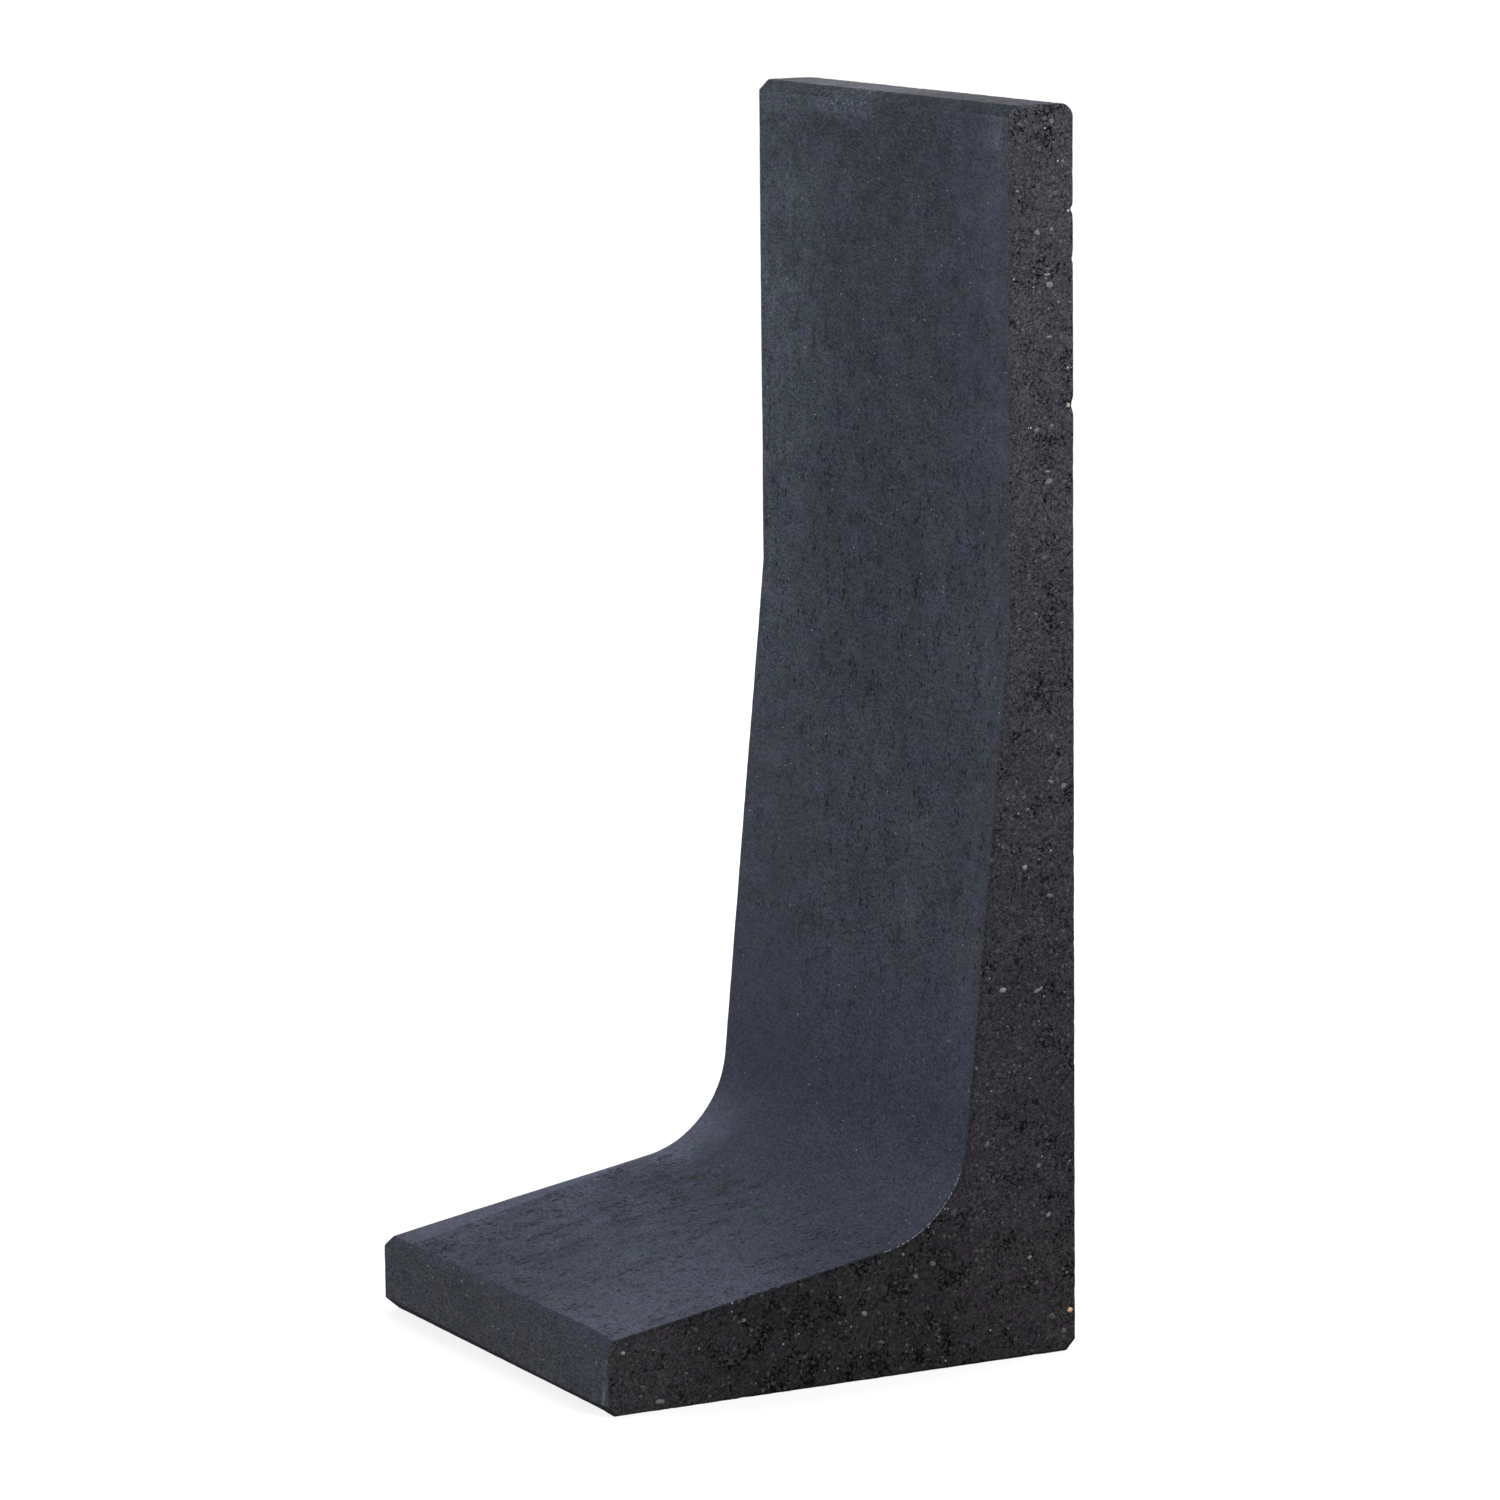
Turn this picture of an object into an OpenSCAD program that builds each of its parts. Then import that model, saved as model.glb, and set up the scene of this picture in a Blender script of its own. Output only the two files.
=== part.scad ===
// L-shaped retaining wall element, cast as one piece of concrete.
// The flat exposed face looks along +Y, the foot reaches along -Y, the width runs along X.
// The rough side at +X was the open top of the mould. The origin is at the bottom centre
// of the bounding box.

/* [Overall size] */
// Height from the bed to the top
height = 1000; // [700:5:1500]
// Width along the wall
width = 404; // [200:1:1000]
// Depth from the exposed face to the toe
depth = 422; // [300:1:700]

/* [Stem] */
// Thickness of the upper stem
stem_top_t = 60; // [45:1:90]
// Height where the stem starts to thicken on its way down
taper_z = 600; // [350:5:650]
// Thickness of the stem where its taper line meets the foot
stem_root_t = 108; // [95:1:150]
// Radius of the hollow between the stem and the foot
root_r = 90; // [20:5:150]

/* [Foot] */
// Thickness of the foot at the toe
toe_t = 60; // [45:1:90]
// Thickness of the foot where it meets the stem's taper line
foot_root_t = 114; // [100:1:150]

/* [Top edges] */
// Depth of the chamfer on the top front edge
top_chamfer_depth = 9; // [2:0.5:20]
// Height of the chamfer on the top front edge
top_chamfer_height = 8.5; // [2:0.5:20]
// Radius of the round on the top back edge
top_round_r = 11; // [2:0.5:20]

/* [Bottom edges] */
// Depth of the chamfer under the exposed face
heel_chamfer_depth = 8.5; // [2:0.5:20]
// Height of the chamfer under the exposed face
heel_chamfer_height = 8.5; // [2:0.5:20]
// Depth of the chamfer under the toe
toe_low_chamfer_depth = 12; // [2:0.5:20]
// Height of the chamfer under the toe
toe_low_chamfer_height = 10.5; // [2:0.5:20]
// Depth of the chamfer on top of the toe
toe_top_chamfer_depth = 9; // [2:0.5:20]
// Drop of the chamfer on top of the toe
toe_top_chamfer_drop = 5.5; // [2:0.5:20]
// Share of the chamfer under the toe that is left at the rough side
toe_low_share_rough = 0.6; // [0.1:0.05:1]
// Share of the chamfer on top of the toe that is left at the rough side
toe_top_share_rough = 0.8; // [0.1:0.05:1]

/* [Hidden] */
concrete_colour = "#34373f";
// Arcs are drawn at this many steps a turn
$fn = 180;
// Cutting blocks reach this far past the faces they cut
over = 20;
// The hollow is cut this much deeper than its tangent lines, so that no sliver stays there
overcut = 0.001;
// The exposed face and the toe
back_y = depth / 2;
toe_y = -depth / 2;
// Corner where the stem's taper line meets the foot's top line, as [y, z]
root = [back_y - stem_root_t, foot_root_t];
// Start of the taper on the stem's front, as [y, z]
taper_top = [back_y - stem_top_t, taper_z];
// Top of the toe before it is chamfered, as [y, z]
toe_top = [toe_y, toe_t];
// Direction from the root corner along the foot, and along the stem
foot_dir = unit(toe_top - root);
stem_dir = unit(taper_top - root);
// Half of the angle that the two lines enclose
half_angle = acos(foot_dir * stem_dir) / 2;
// Centre of the hollow, on the line that halves the angle
hollow_centre = root + unit(foot_dir + stem_dir) * root_r / sin(half_angle);
// Distance from the root corner to where the hollow's arc begins
tangent_length = root_r / tan(half_angle);
// Slope of the foot's top
foot_slope = (foot_root_t - toe_t) / (depth - stem_root_t);

function unit(v) = v / norm(v);

// Outline in straight lines. At the root it runs out to the hollow's centre, and the top back
// edge is still sharp.
module straight_outline() {
    polygon([
        [toe_y, 0],
        [back_y - heel_chamfer_depth, 0],
        [back_y, heel_chamfer_height],
        [back_y, height],
        [back_y - stem_top_t + top_chamfer_depth, height],
        [back_y - stem_top_t, height - top_chamfer_height],
        taper_top,
        root + stem_dir * tangent_length,
        hollow_centre,
        root + foot_dir * tangent_length,
        toe_top
    ]);
}

// Waste outside the round on the top back edge
module top_round_waste() {
    translate([back_y - top_round_r, height - top_round_r]) {
        difference() {
            square(top_round_r + over);
            circle(r = top_round_r);
        }
    }
}

module outline() {
    difference() {
        straight_outline();
        translate(hollow_centre) circle(r = root_r + overcut);
        top_round_waste();
    }
}

// Block that cuts a chamfer off an edge along X. The edge starts at the origin, the solid lies
// behind and below it, and the chamfer shrinks to share_rough of its size over the width.
// depth_in is the chamfer's reach along +Y, drop its reach down the front face, and rise
// how much higher the top face is at depth_in than at the edge.
module chamfer_waste(depth_in, drop, rise, share_rough) {
    tilt = atan2(drop + rise, depth_in);
    edge_distance = drop * cos(tilt);
    twist = atan((1 - share_rough) * edge_distance / width);
    translate([0, 0, -drop])
        rotate([tilt, 0, 0])
            rotate([0, -twist, 0])
                translate([-over, -over, 0])
                    cube([width + 2 * over, depth_in + drop + 2 * over, drop + over]);
}

module toe_top_waste() {
    translate([-width / 2, toe_y, toe_t])
        chamfer_waste(toe_top_chamfer_depth, toe_top_chamfer_drop, toe_top_chamfer_depth * foot_slope,
            toe_top_share_rough);
}

module toe_low_waste() {
    translate([-width / 2, toe_y, 0])
        mirror([0, 0, 1])
            chamfer_waste(toe_low_chamfer_depth, toe_low_chamfer_height, 0, toe_low_share_rough);
}

module wall_element() {
    color(concrete_colour)
        difference() {
            rotate([90, 0, 90]) linear_extrude(width, center = true) outline();
            toe_top_waste();
            toe_low_waste();
        }
}

wall_element();
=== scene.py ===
"""An L-shaped retaining wall element: one cast concrete piece, its stones, a studio and a camera."""

from functools import cached_property, reduce
from itertools import product
from math import acos, atan2, cos, hypot, pi, radians, sin, tan

import bmesh
import bpy
import numpy as np
from numpy.linalg import norm
from mathutils import Matrix, Vector

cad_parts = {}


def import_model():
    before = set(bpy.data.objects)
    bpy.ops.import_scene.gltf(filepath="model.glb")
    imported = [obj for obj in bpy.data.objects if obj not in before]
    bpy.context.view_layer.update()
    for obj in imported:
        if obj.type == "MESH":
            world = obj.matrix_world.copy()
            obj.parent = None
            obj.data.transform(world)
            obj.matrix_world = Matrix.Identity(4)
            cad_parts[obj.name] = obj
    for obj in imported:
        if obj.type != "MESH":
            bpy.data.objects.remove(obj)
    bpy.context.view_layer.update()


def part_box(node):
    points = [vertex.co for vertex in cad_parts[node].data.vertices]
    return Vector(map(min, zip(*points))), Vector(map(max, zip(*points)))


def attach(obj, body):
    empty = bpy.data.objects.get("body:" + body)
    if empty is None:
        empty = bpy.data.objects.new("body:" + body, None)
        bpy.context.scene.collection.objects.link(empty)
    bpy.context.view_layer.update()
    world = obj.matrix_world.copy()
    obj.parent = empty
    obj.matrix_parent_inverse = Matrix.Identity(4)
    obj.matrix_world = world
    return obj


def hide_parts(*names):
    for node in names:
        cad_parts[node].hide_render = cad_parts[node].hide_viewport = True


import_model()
LOW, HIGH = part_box("wall_element")
MM = 0.001

# The outline in the y-z plane, as the CAD has it. The stem's tapered front and the foot's top meet at the root.
STEM_TOP_T, STEM_ROOT_T = 60 * MM, 108 * MM  # thicknesses
TAPER_Z = 600 * MM  # height at which the stem's taper starts
FOOT_ROOT_T, TOE_T = 114 * MM, 60 * MM
ROOT_R = 90 * MM  # radius of the hollow
TOP_CHAMFER = (9 * MM, 8.5 * MM)  # depth, height
TOP_ROUND_R = 11 * MM
HEEL_CHAMFER = (8.5 * MM, 8.5 * MM)
TOE_TOP, TOE_LOW = (9 * MM, 5.5 * MM), (12 * MM, 10.5 * MM)  # the chamfers at the mould side
TOE_TOP_SHARE, TOE_LOW_SHARE = 0.8, 0.6  # what is left of them at the rough side
WORN_CORNER = 35 * MM  # how far the toe's corner at the rough side is worn
WORN_ALONG, WORN_DROP, WORN_LOW = 0.18, 0.5, 0.15  # in shares of the chamfers
CORNER_ROUND = 1.0 * MM  # how far from a corner its two rounding steps begin

# Grid lines over the skin.
RUN_STEM, RUN_HOLLOW, RUN_FOOT = 468, 120, 156
RUN = RUN_STEM + RUN_HOLLOW + RUN_FOOT
ACROSS = 44
TOP_STEPS, TOE_STEPS = (7, 27), (7, 25, 8)  # along the top's and the toe's straight pieces
ROUND_STEPS = 8  # round the top back edge
WIDE = 112
EASE = 70  # lines over which the top's and the toe's shapes straighten out
EDGE_LINES = np.array([0, 1.4, 3.2]) * MM  # the first lines in from each long arris
EVEN_FROM = 5.5 * MM  # from here on they are even
# Cell sizes in grid lines. The rough side, the top and the toe have a cell for every line.
FRONT_STEP = 3
BACK_STEPS = (3, 2)  # down, over the width
END_STEPS = (3, 4)  # down, through


# ---- numbers

PRIMES = (374761393, 668265263, 2246822519, 3266489917)
CELL_SHIFT = 1000.0  # keeps the cells' numbers positive


def smooth(a, b, v):
    """0 at a and before, 1 at b and past it, smooth between. b may be the smaller one."""
    u = np.clip((v - a) / (b - a), 0, 1)
    return u * u * (3 - 2 * u)


def hashed(cells, seed):
    """A fixed pseudo-random number from 0 to 1 for each whole-number cell."""
    low_bits = np.uint64(2**32 - 1)
    h = np.full(cells.shape[:-1], seed * PRIMES[3] % 2**32, np.uint64)
    for n, prime in enumerate(PRIMES[:3]):
        h += cells[..., n].astype(np.uint64) * np.uint64(prime)
    h &= low_bits
    for shift, prime in ((15, PRIMES[2]), (13, PRIMES[3]), (16, 1)):
        h ^= h >> np.uint64(shift)
        h = h * np.uint64(prime) & low_bits
    return h / low_bits


def value_noise(points, cell, seed):
    """Smooth noise from -1 to 1 with features about one cell across."""
    p = points / cell + CELL_SHIFT
    base = np.floor(p)
    f = p - base
    f = f * f * (3 - 2 * f)
    total = np.zeros(len(p))
    for corner in product((0, 1), repeat=3):
        total += np.where(corner, f, 1 - f).prod(1) * hashed(base + corner, seed)
    return total * 2 - 1


def nearest_spot(points, cell, seed):
    """Distance to the nearest of one random spot a cell, in cells, and that spot's own random number."""
    p = points / cell + CELL_SHIFT
    base = np.floor(p)
    best, tag = np.full(len(p), np.inf), np.zeros(len(p))
    for step in product((-1, 0, 1), repeat=3):
        c = base + step
        spot = c + np.stack([hashed(c, seed + n) for n in (1, 2, 3)], -1)
        d = norm(spot - p, axis=1)
        near = d < best
        best = np.where(near, d, best)
        tag = np.where(near, hashed(c, seed + 4), tag)
    return best, tag


# ---- outline

def unit(v):
    return v / norm(v)


def way_along(path):
    """How far along a path each of its points lies."""
    return np.concatenate([[0], np.cumsum(norm(np.diff(path, axis=0), axis=1))])


def even(path, count):
    """count + 1 points evenly along a path."""
    path = np.array(path, float)
    at = way_along(path)
    want = np.linspace(0, at[-1], count + 1)
    return np.stack([np.interp(want, at, path[:, n]) for n in range(path.shape[1])], 1)


def arc(middle, radius, start, end, count):
    """count + 1 points round a middle, from one angle to another."""
    turn = np.linspace(start, end, count + 1)
    return middle + radius * np.stack([np.cos(turn), np.sin(turn)], 1)


def cornered(points, counts):
    """A line of straight pieces, with that many steps along each piece and two round each inner corner."""
    points = [np.asarray(p, float) for p in points]
    path, last = [], len(counts) - 1
    for n, (a, b) in enumerate(zip(points, points[1:])):
        way = unit(b - a) * CORNER_ROUND
        start, end = (a + way if n else a), (b - way if n < last else b)
        path += [start + (end - start) * t for t in np.linspace(0, 1, counts[n] + 1)]
        if n < last:
            beyond = b + unit(points[n + 2] - b) * CORNER_ROUND
            path.append((end + 2 * b + beyond) / 4)
    return np.array(path)


FRONT_TOP = np.array([HIGH.y - STEM_TOP_T, HIGH.z - TOP_CHAMFER[1]])
KINK = np.array([HIGH.y - STEM_TOP_T, TAPER_Z])
ROOT = np.array([HIGH.y - STEM_ROOT_T, FOOT_ROOT_T])
TOE_CORNER = np.array([LOW.y, TOE_T])
FOOT_WAY, STEM_WAY = unit(TOE_CORNER - ROOT), unit(KINK - ROOT)
HALF_ANGLE = acos(FOOT_WAY @ STEM_WAY) / 2
HOLLOW = ROOT + unit(FOOT_WAY + STEM_WAY) * ROOT_R / sin(HALF_ANGLE)
TANGENT = ROOT_R / tan(HALF_ANGLE)
STEM_END, FOOT_START = ROOT + STEM_WAY * TANGENT, ROOT + FOOT_WAY * TANGENT


def toe_points(x):
    """The toe's corners at this x, from the foot's top down to the bed."""
    over = (x - LOW.x) / (HIGH.x - LOW.x)
    wear_and_highlight = smooth(HIGH.x - WORN_CORNER, HIGH.x, x)
    top, low = 1 + (TOE_TOP_SHARE - 1) * over, 1 + (TOE_LOW_SHARE - 1) * over
    along = TOE_TOP[0] * (top - WORN_ALONG * wear_and_highlight)
    slope = (ROOT[1] - TOE_T) / (ROOT[0] - LOW.y)
    return [(LOW.y + along, TOE_T + along * slope), (LOW.y, TOE_T - TOE_TOP[1] * (top + WORN_DROP * wear_and_highlight)),
            (LOW.y, TOE_LOW[1] * (low + WORN_LOW * wear_and_highlight)),
            (LOW.y + TOE_LOW[0] * (low - WORN_LOW * wear_and_highlight), LOW.z)]


# Places along the run, which goes down the front from the top chamfer's lower edge and out to the toe.
HOLLOW_RUN = norm(FRONT_TOP - KINK) + norm(KINK - STEM_END)
FOOT_RUN = HOLLOW_RUN + ROOT_R * (pi - 2 * HALF_ANGLE)
TOE_RUN = FOOT_RUN + norm(FOOT_START - np.array(toe_points(LOW.x)[0]))


def inner_line(x):
    """The stem's front, the hollow and the foot's top, from the top down and out to the toe."""
    start, end = (atan2(*(p - HOLLOW)[::-1]) for p in (STEM_END, FOOT_START))
    stem = even([FRONT_TOP, KINK, STEM_END], RUN_STEM)
    hollow = arc(HOLLOW, ROOT_R, start, end, RUN_HOLLOW)
    foot = even([FOOT_START, toe_points(x)[0]], RUN_FOOT)
    return np.concatenate([stem, hollow[1:], foot[1:]])


def outer_line(x):
    """The exposed back and the bed, from the top down and out to the toe."""
    back = even([(HIGH.y, HIGH.z - TOP_ROUND_R), (HIGH.y, STEM_END[1])], RUN_STEM)
    heel = even([(HIGH.y, STEM_END[1]), (HIGH.y, HEEL_CHAMFER[1]), (HIGH.y - HEEL_CHAMFER[0], LOW.z),
            (FOOT_START[0], LOW.z)], RUN_HOLLOW)
    bed = even([(FOOT_START[0], LOW.z), toe_points(x)[3]], RUN_FOOT)
    return np.concatenate([back, heel[1:], bed[1:]])


def top_line():
    """The top, from the stem's front over the chamfer and the flat to the rounded back edge."""
    middle = np.array([HIGH.y - TOP_ROUND_R, HIGH.z - TOP_ROUND_R])
    edge = arc(middle, TOP_ROUND_R, pi / 2, 0, ROUND_STEPS)
    front = [FRONT_TOP, (FRONT_TOP[0] + TOP_CHAMFER[0], HIGH.z), edge[0]]
    return np.concatenate([cornered(front, TOP_STEPS), edge[1:]])


def toe_line(x):
    """The toe, from the foot's top over the chamfer, the front and the low chamfer to the bed."""
    return cornered(toe_points(x), TOE_STEPS)


# ---- the cast body's grid

class Skin:
    """The six sides of the bent box as grids that share their edge points.

    A point is known by (i, j, k): i along the run from the top to the toe, j across from the inner
    face to the outer one, and k over the width from the mould side to the rough side."""

    def __init__(self):
        middle = np.linspace(LOW.x + EVEN_FROM, HIGH.x - EVEN_FROM, WIDE + 1 - 2 * len(EDGE_LINES))
        self.xs = np.concatenate([LOW.x + EDGE_LINES, middle, HIGH.x - EDGE_LINES[::-1]])
        self.index = {}
        self.points, self.skin = [], []
        self.inner = np.array([inner_line(x) for x in self.xs])  # k, i, (y, z)
        self.outer = np.array([outer_line(x) for x in self.xs])
        self.top = top_line()
        self.toe = np.array([toe_line(x) for x in self.xs])
        self.length = way_along(self.inner[0])

    def place(self, i, j, k):
        """The y and z of a point."""
        if i == 0:
            return self.top[j]
        if i == RUN:
            return self.toe[k][j]
        t = j / ACROSS
        straight = (1 - t) * self.inner[k][i] + t * self.outer[k][i]
        if j in (0, ACROSS):
            return straight
        for end, line in ((i, self.top), (RUN - i, self.toe[k])):
            if end < EASE:
                w = (1 - end / EASE)**2
                straight = straight + w * (line[j] - (1 - t) * line[0] - t * line[-1])
        return straight

    def vertex(self, i, j, k):
        """The number of a point, made when it is first asked for."""
        key = (i, j, k)
        if key not in self.index:
            y, z = self.place(i, j, k)
            self.index[key] = len(self.points)
            self.points.append((self.xs[k], y, z))
            thick = norm(self.outer[k][i] - self.inner[k][i])
            self.skin.append((self.xs[k], self.length[i], thick * j / ACROSS))
        return self.index[key]

    def strip(self, a, b, fine):
        """The points from a up to b, not b itself: every fine step on a shared edge, else a alone."""
        a, b = np.array(a), np.array(b)
        count = max(1, int(np.abs(b - a).max() // fine)) if fine else 1
        return [self.vertex(*(int(v) for v in a + (b - a) * n // count)) for n in range(count)]


def side_faces(skin, faces, kinds, at, size, cell, fines, flip, kind):
    """Adds one side. at maps (u, v) to (i, j, k), size and cell are in grid lines, and fines are the neighbours'
    steps on its edges: low u, high u, low v, high v."""
    (nu, nv), (su, sv) = size, cell
    for u in range(0, nu, su):
        for v in range(0, nv, sv):
            a, b, c, d = at(u, v), at(u + su, v), at(u + su, v + sv), at(u, v + sv)
            ring = skin.strip(a, b, fines[2] if v == 0 else 0)
            ring += skin.strip(b, c, fines[1] if u + su == nu else 0)
            ring += skin.strip(c, d, fines[3] if v + sv == nv else 0)
            ring += skin.strip(d, a, fines[0] if u == 0 else 0)
            faces.append(ring[::-1] if flip else ring)
            kinds.append(kind(u))


def build_grid():
    """The closed grid of the cast body, with which kind of surface each face is."""
    skin = Skin()
    faces, kinds = [], []
    # Rows of the top and the toe where a chamfer ends: its own steps and those round its corners.
    top_chamfer, toe_chamfer, toe_front = TOP_STEPS[0] + 1, TOE_STEPS[0] + 1, sum(TOE_STEPS[:2]) + 3
    end_down, end_through = END_STEPS
    sides = [  # point, size, cell, the neighbours' steps, whether it is flipped, kind
        (lambda u, v: (u, 0, v), (RUN, WIDE), (FRONT_STEP, 1), (1, 1, end_down, 1), False, lambda u: "front"),
        (lambda u, v: (u, ACROSS, v), (RUN, WIDE), BACK_STEPS, (1, 1, end_down, 1), True,
         lambda u: "bed" if skin.outer[0][u][1] < MM else "back"),
        (lambda u, v: (u, v, 0), (RUN, ACROSS), END_STEPS, (1, 1, FRONT_STEP, BACK_STEPS[0]), True,
         lambda u: "end"),
        (lambda u, v: (u, v, WIDE), (RUN, ACROSS), (1, 1), (1, 1, 1, 1), False, lambda u: "rough"),
        (lambda u, v: (0, u, v), (ACROSS, WIDE), (1, 1), (1, 1, end_through, 1), True,
         lambda u: "chamfer" if u < top_chamfer else "top"),
        (lambda u, v: (RUN, u, v), (ACROSS, WIDE), (1, 1), (1, 1, end_through, 1), False,
         lambda u: "chamfer" if u < toe_chamfer else "toe" if u < toe_front else "under"),
    ]
    for side in sides:
        side_faces(skin, faces, kinds, *side)
    return skin, faces, kinds


# ---- wear and relief

ROUND_LONG, ROUND_SHORT = 45 * MM, 7 * MM  # how fast an arris changes along its length
ARRIS_LIMITS = (0.5, 6.5)  # mm
BACK_BITES = [(878, 2.5, 2.0), (917, 4.0, 2.5), (763, 5.0, 4.0)]  # height, extra radius, reach (mm)
DOWN, TO_HEEL = (0, 0, -1), (0, 1, 0)
FAR = 9.0  # further than any gap on the piece


def arris_radius(run, j, k, at):
    """How round the arris beside each point is: sharp where moulded, worn where it meets the rough side."""
    slow = value_noise(at, ROUND_LONG, 11)
    fast = value_noise(at, ROUND_SHORT, 12)
    soft_front = smooth(HOLLOW_RUN + 10 * MM, HOLLOW_RUN - 60 * MM, run)
    front = (0.9 + 2.6 * soft_front) * (1 + 0.25 * slow + 0.2 * fast)
    back = 1.1 * (1 + 0.2 * slow + 0.3 * fast)
    for height, extra, reach in BACK_BITES:
        back = back + extra * np.exp(-((at[:, 2] / MM - height) / reach)**2) * (run < HOLLOW_RUN)
    rough_side = np.where(j < ACROSS / 2, front, back)
    mould_side = 1.0 * (1 + 0.3 * fast)
    return np.clip(np.where(k >= WIDE / 2, rough_side, mould_side), *ARRIS_LIMITS) * MM


def round_arrises(skin_xst, key, points, thick, across):
    """Rounds the long arrises between the sides and the outline, both ways from each arris."""
    i, j, k = key.T
    on_side = (k == 0) | (k == WIDE)
    inner, outer, ends = j == 0, j == ACROSS, (i == 0) | (i == RUN)
    run, depth = skin_xst[:, 1], skin_xst[:, 2]
    gaps = np.stack([np.where(i == 0, FAR, depth), thick - depth, np.abs(points[:, 2] - HIGH.z),
            np.abs(points[:, 1] - LOW.y)], 1)
    nearest = gaps.argmin(1)
    inplane = np.where(inner | outer | ends, 0.0, gaps.min(1))
    inward = np.where((nearest == 1)[:, None], -across, across)
    for chosen, way in ((nearest == 2, DOWN), (nearest == 3, TO_HEEL), (i == 0, DOWN), (i == RUN, TO_HEEL)):
        inward[chosen] = way
    inward[inner], inward[outer] = across[inner], -across[outer]
    side_gap = np.minimum(points[:, 0] - LOW.x, HIGH.x - points[:, 0])
    radius = arris_radius(run, j, k, points * (0, 1, 1))
    gap = np.where(on_side, inplane, side_gap)
    turn = (1 - np.clip(gap / radius, 0, 1)) * pi / 4
    moved, sunk = radius * (1 - np.sin(turn)) - gap, radius * (1 - np.cos(turn))
    into, along_x = np.where(on_side, moved, sunk), np.where(on_side, sunk, moved)
    shift = inward * into[:, None]
    shift[:, 0] += np.where(points[:, 0] > 0, -1.0, 1.0) * along_x
    return points + np.where((gap < radius)[:, None], shift, 0)


# Each relief gives heights in metres and where its pits are, from 0 to 1. Its own heights are in mm.

def moulded_relief(at, skin_xst):
    """Slightly wavy, with ripples across the foot."""
    foot = smooth(HOLLOW_RUN, FOOT_RUN, skin_xst[:, 1])
    broad = 0.16 * value_noise(at, 70 * MM, 21)
    ripple = (0.05 + 0.09 * foot) * value_noise(skin_xst * (1, 0.2, 1), 6 * MM, 22)
    return (broad + ripple) * MM, np.zeros(len(at))


def rough_relief(at, calm):
    """Grain, clusters of pits, and stones just below the surface. calm flattens it near the arrises."""
    low = smooth(0.75, 0.15, at[:, 2])
    grain = sum(height * value_noise(at, cell * MM, seed)
            for height, cell, seed in ((0.08, 3.1, 31), (0.14, 7, 32), (0.2, 26, 33)))
    cluster = smooth(-0.35 - 0.3 * low, 0.5, value_noise(at, 24 * MM, 34))
    pit = smooth(0.30, 0.8, value_noise(at, 3.4 * MM, 35)) * cluster
    spot, tag = nearest_spot(at, 10 * MM, 36)
    size = 0.16 + 0.2 * tag
    stone = np.clip(1 - (spot / size)**2, 0, 1) * (tag > 0.35)
    height = grain - 1.3 * pit + 0.55 * stone * (1 - pit)
    return height * calm * MM, pit * calm


def top_relief(at):
    """The top was struck off in the mould: a fine open grain."""
    height = 0.16 * value_noise(at, 3.5 * MM, 41) + 0.1 * value_noise(at, 9 * MM, 42)
    pit = smooth(0.5, 0.9, value_noise(at, 4.5 * MM, 43))
    return (height - 0.5 * pit) * MM, pit


def relief(points, normals, skin_xst, key, thick):
    """The height in metres and the pits over the whole body, and which points are on the rough side."""
    rough = smooth(0.25, 0.8, normals[:, 0]) * (key[:, 2] == WIDE)
    top = smooth(0.3, 0.8, normals[:, 2]) * (key[:, 0] == 0) * (1 - rough)
    edge = np.minimum(skin_xst[:, 2], thick - skin_xst[:, 2])
    calm = 0.3 + 0.7 * smooth(1 * MM, 7 * MM, edge)
    kinds = (moulded_relief(points, skin_xst), rough_relief(points, calm), top_relief(points))
    shares = (1 - rough - top, rough, top)
    height, pit = (sum(kind[n] * share for kind, share in zip(kinds, shares)) for n in (0, 1))
    return height, pit, rough


def linked(name, data):
    """A new object in the scene."""
    made = bpy.data.objects.new(name, data)
    bpy.context.scene.collection.objects.link(made)
    return made


def cast_body():
    """The cast piece as one closed mesh with rounded arrises, pits, ripples and grain."""
    grid, faces, kinds = build_grid()
    skin_xst = np.array(grid.skin)
    key = np.array(list(grid.index))
    chord = np.array([grid.outer[k][i] - grid.inner[k][i] for i, _, k in key])
    thick = norm(chord, axis=1)
    across = np.concatenate([np.zeros((len(key), 1)), chord / thick[:, None]], 1)
    points = round_arrises(skin_xst, key, np.array(grid.points), thick, across)

    mesh = bpy.data.meshes.new("cast_body")
    mesh.from_pydata(points.tolist(), [], faces)
    mesh.validate()
    normals = np.zeros(points.size)
    mesh.vertex_normals.foreach_get("vector", normals)
    normals = normals.reshape(-1, 3)
    height, pit, rough = relief(points, normals, skin_xst, key, thick)
    points = points + normals * height[:, None]
    points[:, 2] = np.maximum(points[:, 2], LOW.z)
    mesh.vertices.foreach_set("co", points.ravel())

    for name, values in (("skin", skin_xst), ("pit", np.stack([pit, height / MM, rough], 1))):
        made = mesh.attributes.new(name, "FLOAT_VECTOR", "POINT")
        made.data.foreach_set("vector", values.astype(np.float32).ravel())
    for material in BODY_MATERIALS.values():
        mesh.materials.append(material)
    slots = list(BODY_MATERIALS)
    mesh.polygons.foreach_set("material_index", np.array([slots.index(kind) for kind in kinds], np.int32))
    mesh.shade_smooth()
    mesh.update()
    return linked("cast_body", mesh)


# ---- stones

STONE_SEED = 7
STONE_COUNT = 190
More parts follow.
